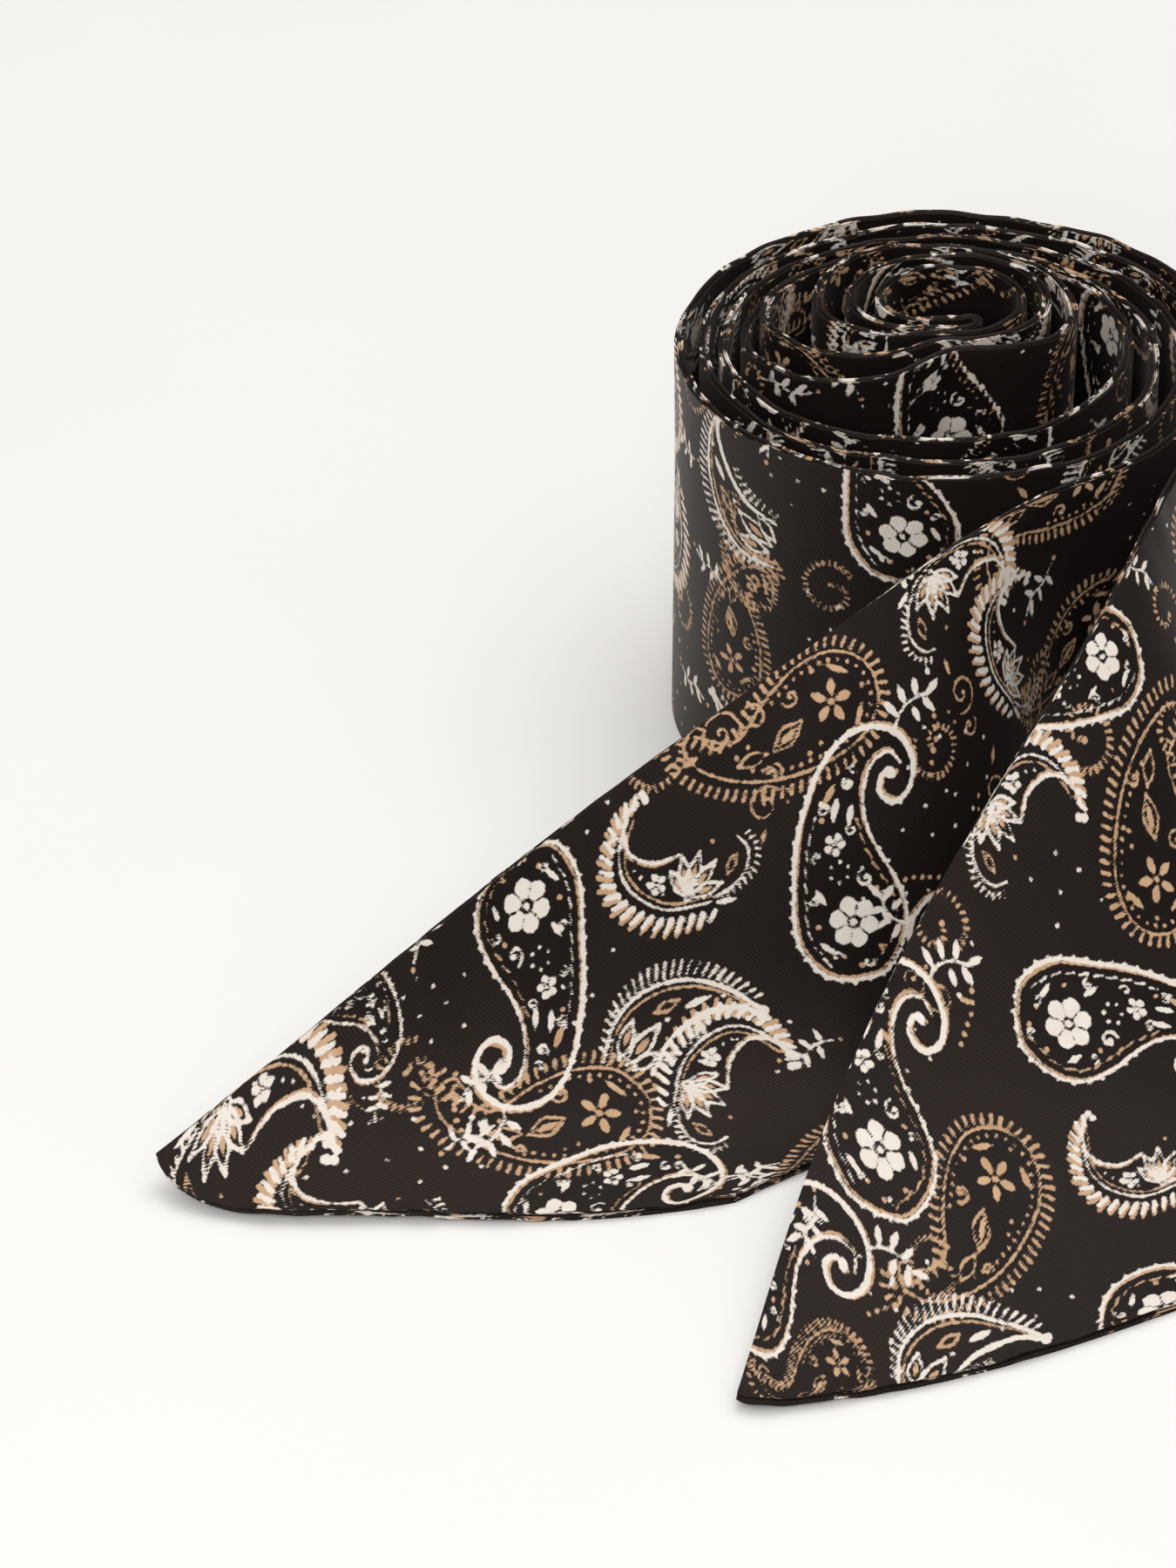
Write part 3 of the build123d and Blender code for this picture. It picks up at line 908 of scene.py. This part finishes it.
ROLL_BACK_TOSS = [("drop", 402, 50, 92, 1, 1.0), ("crescent", 380, 48, 100, 1, 1.0), ("bead_drop", 424, 50, 80, 1, 0.9)]

TOSS = {"back": LEFT_END_TOSS + ROLL_BACK_TOSS,
        "front": [(name, ROLL_LENGTH + u, *rest) for name, u, *rest in RIGHT_END_TOSS] + ROLL_FRONT_TOSS}
print("placed by hand", {face: len(placed) for face, placed in TOSS.items()})

# %% Toss the rest
THROWS = (("drop", "crescent", "bead_drop", "fern"), ("curl", "swirl", "sprig"), ("specks",))
TRIES = 5200
CLOSENESS = 0.78        # share of their two radii that motifs are kept apart


def throw_rest(face, seed):
    """Fills what the listed motifs leave open."""
    dice = random.Random(seed)
    kept = [(u, v, MOTIFS[name][1] * size) for name, u, v, _, _, size in TOSS[face]]
    for names in THROWS:
        for _ in range(TRIES):
            name, size = dice.choice(names), dice.uniform(0.85, 1.05)
            u, v = dice.uniform(-175, ROLL_LENGTH + 190), dice.uniform(-3, WIDTH + 3)
            room = MOTIFS[name][1] * size
            if all((u - a) ** 2 + (v - b) ** 2 > (CLOSENESS * (room + r)) ** 2 for a, b, r in kept):
                kept.append((u, v, room))
                TOSS[face].append((name, u, v, dice.uniform(0, 360), dice.choice((1, -1)), size))


throw_rest("front", 11)
throw_rest("back", 12)
print("motifs", {face: len(placed) for face, placed in TOSS.items()})

# %% [markdown]
# ## Printing the cloth
# The print has to bend with the cloth and stay sharp. Colours kept on the
# points would smear over a grid this coarse. So each point keeps how far it
# lies from the ink instead, which changes evenly from point to point, and the
# material draws the ink's edge where that distance passes zero. A third value
# marks the inside of the drops and crescents, where the ground is darker.

# %% Measure the distance from the cloth's points to the ink
def ink_segments(strokes):
    """Strokes as (ink, start points, end points, start widths, end widths), kept in order."""
    rows = []
    for ink, path, width in strokes:
        if rows and rows[-1][0] == ink:
            rows[-1][1].append((path[:-1], path[1:], width[:-1], width[1:]))
        else:
            rows.append((ink, [(path[:-1], path[1:], width[:-1], width[1:])]))
    return [(ink, [np.concatenate(part) for part in zip(*pieces)]) for ink, pieces in rows]


SEGMENTS = {name: ink_segments(strokes) for name, (strokes, _) in MOTIFS.items()}
DARK_GROUND = {"drop": curve(DROP_LEFT[:11] + DROP_RIGHT[:0:-1]),
               "crescent": curve(CRESCENT + [(2.0, 0.0)] + CRESCENT_IN[::-1]),
               "bead_drop": curve(BEAD_DROP[1:12])}
FAR = 3.0               # distances past this aren't measured
MOTIF_REACH = 36        # no motif goes further from its middle
print("straight pen segments", {name: sum(len(parts[0]) for _, parts in rows) for name, rows in SEGMENTS.items()})


# %% Inside an outline, and how far from a stroke
def inside(x, y, outline):
    """True for the points inside a closed outline."""
    hit = np.zeros(len(x), bool)
    for (a, b), (c, d) in zip(outline, np.roll(outline, -1, axis=0)):
        crosses = (b > y) != (d > y)
        hit ^= crosses & (x < a + (c - a) * (y - b) / np.where(d == b, 1e-9, d - b))
    return hit


def pen_distance(x, y, parts):
    """Distance from each point to the nearest pen stroke; negative on the ink."""
    start, end, wide, wide_end = parts
    best = np.full(len(x), FAR)
    run = end - start
    size = np.maximum((run ** 2).sum(1), 1e-9)
    for low in range(0, len(start), 60):
        part = slice(low, low + 60)
        dx, dy = x[:, None] - start[None, part, 0], y[:, None] - start[None, part, 1]
        t = np.clip((dx * run[part, 0] + dy * run[part, 1]) / size[part], 0, 1)
        gap = np.hypot(dx - t * run[part, 0], dy - t * run[part, 1])
        best = np.minimum(best, (gap - wide[part] - t * (wide_end - wide)[part]).min(1))
    return best


# %% Store the print on a panel
def flat_places(mesh):
    """Where each point lies on the flat cloth, in mm, from the UV map."""
    flat = np.zeros(len(mesh.loops) * 2, np.float32)
    mesh.uv_layers["cloth"].data.foreach_get("uv", flat)
    place = np.zeros((len(mesh.vertices), 2))
    place[corner_points(mesh)] = flat.reshape(-1, 2) / MM
    return place[:, 0], place[:, 1]


def print_on(piece, face):
    """Stores how far each point is from the white and the tan ink, and where the ground is dark."""
    u, v = flat_places(piece.data)
    white, tan, dark = np.full(len(u), FAR), np.full(len(u), FAR), np.zeros(len(u))
    for name, at_u, at_v, turn, mirrored, size in TOSS[face]:
        reach = MOTIF_REACH * size
        near = np.flatnonzero((np.abs(u - at_u) < reach) & (np.abs(v - at_v) < reach))
        if not len(near):
            continue
        a = math.radians(turn)
        du, dv = (u[near] - at_u) / size, (v[near] - at_v) / size
        x, y = du * math.cos(a) + dv * math.sin(a), (dv * math.cos(a) - du * math.sin(a)) * mirrored
        if name in DARK_GROUND:
            dark[near] = np.maximum(dark[near], inside(x, y, DARK_GROUND[name]))
        for ink, parts in SEGMENTS[name]:
            low, high = parts[0].min(0) - FAR, parts[0].max(0) + FAR
            close = (x > low[0]) & (x < high[0]) & (y > low[1]) & (y < high[1])
            chosen = near[close]
            if not len(chosen):
                continue
            gap = pen_distance(x[close], y[close], parts) * size
            if ink == "white":
                white[chosen] = np.minimum(white[chosen], gap)
            elif ink == "tan":
                tan[chosen] = np.minimum(tan[chosen], gap)
            else:
                white[chosen], tan[chosen] = np.maximum(white[chosen], -gap), np.maximum(tan[chosen], -gap)
    for name, values in (("white_ink", white), ("tan_ink", tan), ("dark_ground", dark)):
        layer = piece.data.attributes.new(name, "FLOAT", "POINT")
        layer.data.foreach_set("value", values.astype(np.float32))


# %% [markdown]
# ## Making the strip
# Each end has an outer panel, which is seen, and an under panel, which lies
# down. Which face of the strip is outside changes at the fold: it is the back
# on the left end and the front on the right one. Long panels are cut into
# pieces that butt, so that each keeps to a sensible number of faces, and the
# grid is closest where the print is seen best.

# %% Grid pitches, and where the long panels are divided
FINE, MIDDLING, COARSE = ((0.34, 0.55, 0.5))
WALL = FINE * 1.25                       # on the outside of the roll
OUTER_SPLIT = 84                         # along an end's outer panel
outer_start = ROLL_LENGTH - 268          # where the last turn of the front panel starts
front_cuts = [0, outer_start / 3, outer_start * 2 / 3, outer_start, outer_start + 134, ROLL_LENGTH]
back_cuts = [0, ROLL_LENGTH / 3, ROLL_LENGTH * 2 / 3, ROLL_LENGTH]
ENDS = {"left": ("left_end", "back", "front", -1), "right": ("right_end", "front", "back", 1)}
print("grid pitches, mm:", FINE, MIDDLING, COARSE)

# %% Make the ends
strip, linings, threads = {}, {}, {}
for side, (body, outer_face, under_face, way) in ENDS.items():
    near = make_end_panel(f"{side}_outer_panel", body, way, FINE, last=OUTER_SPLIT)
    far = make_end_panel(f"{side}_outer_panel_tip", body, way, FINE, first=OUTER_SPLIT)
    under = make_end_panel(f"{side}_under_panel", body, -way, COARSE)
    outer_node, under_node = f"{side}_{outer_face}_panel", f"{side}_{under_face}_panel"
    strip[side] = [(near, outer_node), (far, outer_node), (under, under_node)]
    linings[f"{side}_interlining"] = make_interlining(f"{side}_interlining_felt", body)
    threads.update(make_end_threads(body, side))
    print(side, "end is made of", [piece.name for piece, _ in strip[side]])

# %% Make the roll
pitches = [(MIDDLING, 1.6)] * 3 + [(WALL, WALL)] * 2
roll_fronts = [make_roll_panel(f"roll_front_turns_{k + 1}", 1, front_cuts[k], front_cuts[k + 1], *pitches[k])
               for k in range(5)]
roll_backs = [make_roll_panel(f"roll_back_turns_{k + 1}", -1, back_cuts[k], back_cuts[k + 1], MIDDLING, 1.6)
              for k in range(3)]
roll_pieces = roll_fronts + roll_backs
linings["roll_interlining"] = make_interlining("roll_interlining_felt")
u = np.linspace(2, ROLL_LENGTH - 2, 900)
for name, height in LONG_SEAMS:
    node = f"roll_{name}"
    threads[node] = make_thread(node + "_thread", roll_place(u, np.full(len(u), height), roll_bend(u, height + TUCK)))
    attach(threads[node], "roll")

# %% Print the panels
end_panels = [(piece, node) for side in strip for piece, node in strip[side]]
for piece, node in end_panels + [(piece, piece.name) for piece in roll_pieces]:
    print_on(piece, "back" if "back" in node else "front")
all_panels = [piece for piece, _ in end_panels] + roll_pieces
print("printed", len(all_panels), "panels")

# %% [markdown]
# ## The cloth's finish
# Satin twill with the print lying in it. The ink's edge wanders by a few
# hundredths of a millimetre, as it does on a real weave, and the fine
# diagonal ribs lift the sheen a little. The ground's colour also carries
# painted shade in the weave's hollows and painted light on its ribs. The
# masks are made in a node group, and the shader that they feed stays in the
# material itself.

# %% Node helpers
def feed(tree, socket, value):
    """Gives an input socket a link or a plain value."""
    if hasattr(value, "is_output"):
        tree.links.new(value, socket)
    elif value is not None:
        socket.default_value = value


def add_node(tree, kind, inputs=None, **settings):
    """A node with its settings, and what its named inputs are given."""
    node = tree.nodes.new(kind)
    for key, value in settings.items():
        setattr(node, key, value)
    for name, value in (inputs or {}).items():
        feed(tree, node.inputs[name], value)
    return node


def math_node(tree, operation, a, b=None, c=None, clamp=False):
    node = add_node(tree, "ShaderNodeMath", operation=operation, use_clamp=clamp)
    for socket, value in zip(node.inputs, (a, b, c)):
        feed(tree, socket, value)
    return node.outputs[0]


def mix_colour(tree, factor, one, two):
    """Mixes two colours, each an output or red, green and blue."""
    node = add_node(tree, "ShaderNodeMix", {"Factor": factor}, data_type="RGBA")
    for socket, value in ((node.inputs[6], one), (node.inputs[7], two)):
        feed(tree, socket, value if hasattr(value, "is_output") else (*value, 1))
    return node.outputs[2]


def new_material(name):
    """A material with one Principled shader: (material, its nodes, the shader)."""
    made = bpy.data.materials.new(name)
    made.use_nodes = True
    return made, made.node_tree, made.node_tree.nodes["Principled BSDF"]


def add_bump(tree, shader, height, strength, distance):
    bump = add_node(tree, "ShaderNodeBump", {"Strength": strength, "Distance": distance, "Height": height})
    tree.links.new(bump.outputs[0], shader.inputs["Normal"])


# %% Node group: the print and the weave
TWILL = (11800.0, 4300.0)       # the ribs, in radians a metre along and across the cloth
PICK = (-3100.0, 13600.0)       # the threads that cross them
EDGE_SHARPNESS = -5.0           # a millimetre of distance turns into this much mask


def make_cloth_group():
    tree = bpy.data.node_groups.new("print and weave", "ShaderNodeTree")
    for name in ("White", "Tan", "Dark", "Rib", "Speck"):
        tree.interface.new_socket(name=name, in_out="OUTPUT", socket_type="NodeSocketFloat")
    out = add_node(tree, "NodeGroupOutput")
    uv = add_node(tree, "ShaderNodeUVMap", uv_map="cloth").outputs[0]
    u, v, _ = add_node(tree, "ShaderNodeSeparateXYZ", {"Vector": uv}).outputs
    wobble, patch = (add_node(tree, "ShaderNodeTexNoise", {"Scale": scale, "Detail": detail, "Vector": uv},
                              noise_dimensions="2D").outputs[0] for scale, detail in ((1300, 1.5), (260, 2.0)))
    twill, pick = (math_node(tree, "SINE", math_node(tree, "MULTIPLY_ADD", u, along,
                                                     math_node(tree, "MULTIPLY", v, across)))
                   for along, across in (TWILL, PICK))
    rib = math_node(tree, "MULTIPLY_ADD", pick, 0.45, math_node(tree, "MULTIPLY", twill, 0.55))
    feed(tree, out.inputs["Rib"], math_node(tree, "MULTIPLY_ADD", rib, 0.5, 0.5))
    feed(tree, out.inputs["Speck"], patch)
    shift = math_node(tree, "MULTIPLY", math_node(tree, "SUBTRACT", wobble, 0.5), 0.4)
    shift = math_node(tree, "MULTIPLY_ADD", math_node(tree, "SUBTRACT", patch, 0.5), 0.35, shift)
    shift = math_node(tree, "MULTIPLY_ADD", rib, 0.03, shift)
    for name, ink in (("White", "white_ink"), ("Tan", "tan_ink")):
        gap = add_node(tree, "ShaderNodeAttribute", attribute_name=ink).outputs["Fac"]
        edge = math_node(tree, "ADD", gap, shift)
        feed(tree, out.inputs[name], math_node(tree, "MULTIPLY_ADD", edge, EDGE_SHARPNESS, 0.5, clamp=True))
    inner = add_node(tree, "ShaderNodeAttribute", attribute_name="dark_ground").outputs["Fac"]
    feed(tree, out.inputs["Dark"], inner)
    print(tree.name, len(tree.nodes), "nodes")
    return tree


CLOTH_GROUP = make_cloth_group()


# %% Material: printed satin
# The ground's two tones are painted shade in the weave's hollows and painted light on its ribs.
WEAVE_SHADED_GROUND = (0.0025, 0.0018, 0.0016), (0.0165, 0.0112, 0.0098)       # in the hollows, on the ribs
INNER_GROUND = (0.0022, 0.0017, 0.0016)
TAN_INK = (0.50, 0.29, 0.155), (0.78, 0.52, 0.33)                 # thin, full
WHITE_INK = (0.80, 0.70, 0.60), (0.93, 0.88, 0.82)


def make_satin():
    satin, tree, shader = new_material("printed satin")
    group = add_node(tree, "ShaderNodeGroup", node_tree=CLOTH_GROUP)
    white, tan, dark, rib, speck = (group.outputs[k] for k in ("White", "Tan", "Dark", "Rib", "Speck"))
    # Painted shade and light of the weave, mixed into the ground by the rib pattern.
    ground = mix_colour(tree, rib, *WEAVE_SHADED_GROUND)
    ground = mix_colour(tree, math_node(tree, "MULTIPLY", dark, 0.6), ground, INNER_GROUND)
    tan_ink = mix_colour(tree, speck, *TAN_INK)
    white_ink = mix_colour(tree, speck, *WHITE_INK)
    colour = mix_colour(tree, math_node(tree, "MULTIPLY", tan, 0.93), ground, tan_ink)
    colour = mix_colour(tree, math_node(tree, "MULTIPLY", white, 0.96), colour, white_ink)
    looks = {"Base Color": colour, "Roughness": math_node(tree, "MULTIPLY_ADD", rib, -0.10, 0.56),
             "Specular IOR Level": 0.22, "Specular Tint": (1.0, 0.80, 0.72, 1),
             "Sheen Weight": 0.06, "Sheen Tint": (1.0, 0.9, 0.85, 1), "Sheen Roughness": 0.4}
    for name, value in looks.items():
        feed(tree, shader.inputs[name], value)
    add_bump(tree, shader, rib, 0.35, 0.00012)
    return satin


SATIN = make_satin()
for piece in all_panels:
    piece.data.materials.append(SATIN)
print("satin on", len(all_panels), "panels")


# %% [markdown]
# ## The plain finishes
# The felt, the thread and the table each have two close tones and a low bump
# from one noise. It is stretched along the fibres of the thread and the felt,
# so that neither looks like smooth plastic when the tie is opened up.

# %% Materials: interlining felt and seam thread
def make_matt(name, one, two, scale, roughness, stretch):
    """Two close tones through a stretched noise, with the same noise as a low bump."""
    made, tree, shader = new_material(name)
    where = add_node(tree, "ShaderNodeTexCoord").outputs["Object"]
    mapped = add_node(tree, "ShaderNodeMapping", {"Scale": stretch, "Vector": where}).outputs[0]
    noise = add_node(tree, "ShaderNodeTexNoise", {"Scale": scale, "Vector": mapped}).outputs[0]
    feed(tree, shader.inputs["Base Color"], mix_colour(tree, noise, one, two))
    feed(tree, shader.inputs["Roughness"], math_node(tree, "MULTIPLY_ADD", noise, 0.12, roughness))
    add_bump(tree, shader, noise, 0.2, 0.0001)
    return made


FELT = make_matt("interlining felt", (0.55, 0.51, 0.45), (0.72, 0.68, 0.61), 900, 0.82, (1, 1, 0.4))
THREAD = make_matt("seam thread", (0.010, 0.008, 0.007), (0.045, 0.036, 0.032), 1500, 0.55, (1, 1, 3))
for pieces, finish in ((linings, FELT), (threads, THREAD)):
    for piece in pieces.values():
        piece.data.materials.append(finish)
    print(finish.name, "on", len(pieces), "pieces")

# %% [markdown]
# ## Placing the ends
# In the frame the roll stays still, and each end turns about its upright bending
# line. Real cloth would bend over some length there. Here the pieces of each end,
# with its interlining and threads, have their placement baked into their points,
# and the CAD pieces that the cloth takes the place of are hidden.

# %% Bake the ends' pieces and hide the CAD pieces
BEND_RUN = 28.0         # distance along the end's heading from its bending line to `finish`
hidden = {**linings, **threads}
for side, (body, *_) in ENDS.items():
    heading = np.array([math.sin(EXITS[body]), -math.cos(EXITS[body]), 0])
    start = (HINGES[body] + AXIS) * MM
    finish = start + heading * BEND_RUN * MM
    bound = [piece for piece, _ in strip[side]] + [piece for node, piece in hidden.items() if node.startswith(side)]
    for piece in bound:
        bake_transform(piece)
    for piece, node in strip[side]:
        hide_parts(node)
    print(body, "bends", len(bound), "pieces")
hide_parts("roll_front_panel")
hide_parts("roll_back_panel")
for node, piece in hidden.items():
    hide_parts(node)

# %% [markdown]
# ## The flat sheets
# Each panel and interlining was a flat sheet before it was bent. The ends lie on
# the table layer by layer: outer panel, interlining, under panel. In the roll the
# strip is folded on itself.

# %% The three pieces of each end
for side in strip:
    (near, _), (far, _), (under, _) = strip[side]

# %% [markdown]
# ## Table and light
# Dark satin shows its folds only by what it mirrors, so the light is uneven:
# a soft lamp in front and one overhead, and a sky that is brighter towards the
# top. The camera itself sees the sky as pale as the table, so that there is no
# dark band above the table's edge in a low view.

# %% Table and light
bpy.context.scene.view_settings.view_transform = "Standard"
bpy.ops.mesh.primitive_grid_add(x_subdivisions=40, y_subdivisions=40, size=6)
floor = bpy.context.object
floor.name = "studio_floor"
TABLE = make_matt("pale table", (0.930, 0.918, 0.898), (0.955, 0.946, 0.930), 14, 0.75, (1, 1, 1))
floor.data.materials.append(TABLE)


def soft_light(name, place, size, power):
    """Round area light aimed at the middle of the frame."""
    data = bpy.data.lights.new(name, "AREA")
    data.shape, data.size, data.energy = "DISK", size, power
    lamp = new_object(name, data)
    lamp.location = place
    lamp.rotation_euler = (-Vector(place)).to_track_quat("-Z", "Y").to_euler()
    print(name, power, "W")


soft_light("front light", (-0.25, -1.25, 0.95), 0.8, 9)
soft_light("top light", (0.25, 0.35, 1.5), 1.3, 5.5)

# %% Sky
HORIZON = 0.92          # how bright the camera sees the sky at its dimmest
world = bpy.data.worlds.new("studio")
bpy.context.scene.world = world
world.use_nodes = True
sky = world.node_tree
direction = add_node(sky, "ShaderNodeTexCoord").outputs["Generated"]
height = add_node(sky, "ShaderNodeSeparateXYZ", {"Vector": direction}).outputs[2]
overhead = add_node(sky, "ShaderNodeMapRange", {"Value": height, "From Min": 0.45, "From Max": 0.95,
                                                "To Min": 0.20, "To Max": 1.10}, interpolation_type="SMOOTHSTEP")
seen = add_node(sky, "ShaderNodeLightPath").outputs["Is Camera Ray"]
pale = math_node(sky, "MAXIMUM", overhead.outputs[0], math_node(sky, "MULTIPLY", seen, HORIZON))
for name, value in (("Color", (1.0, 0.985, 0.965, 1)), ("Strength", pale)):
    feed(sky, sky.nodes["Background"].inputs[name], value)
print("sky", len(sky.nodes), "nodes")
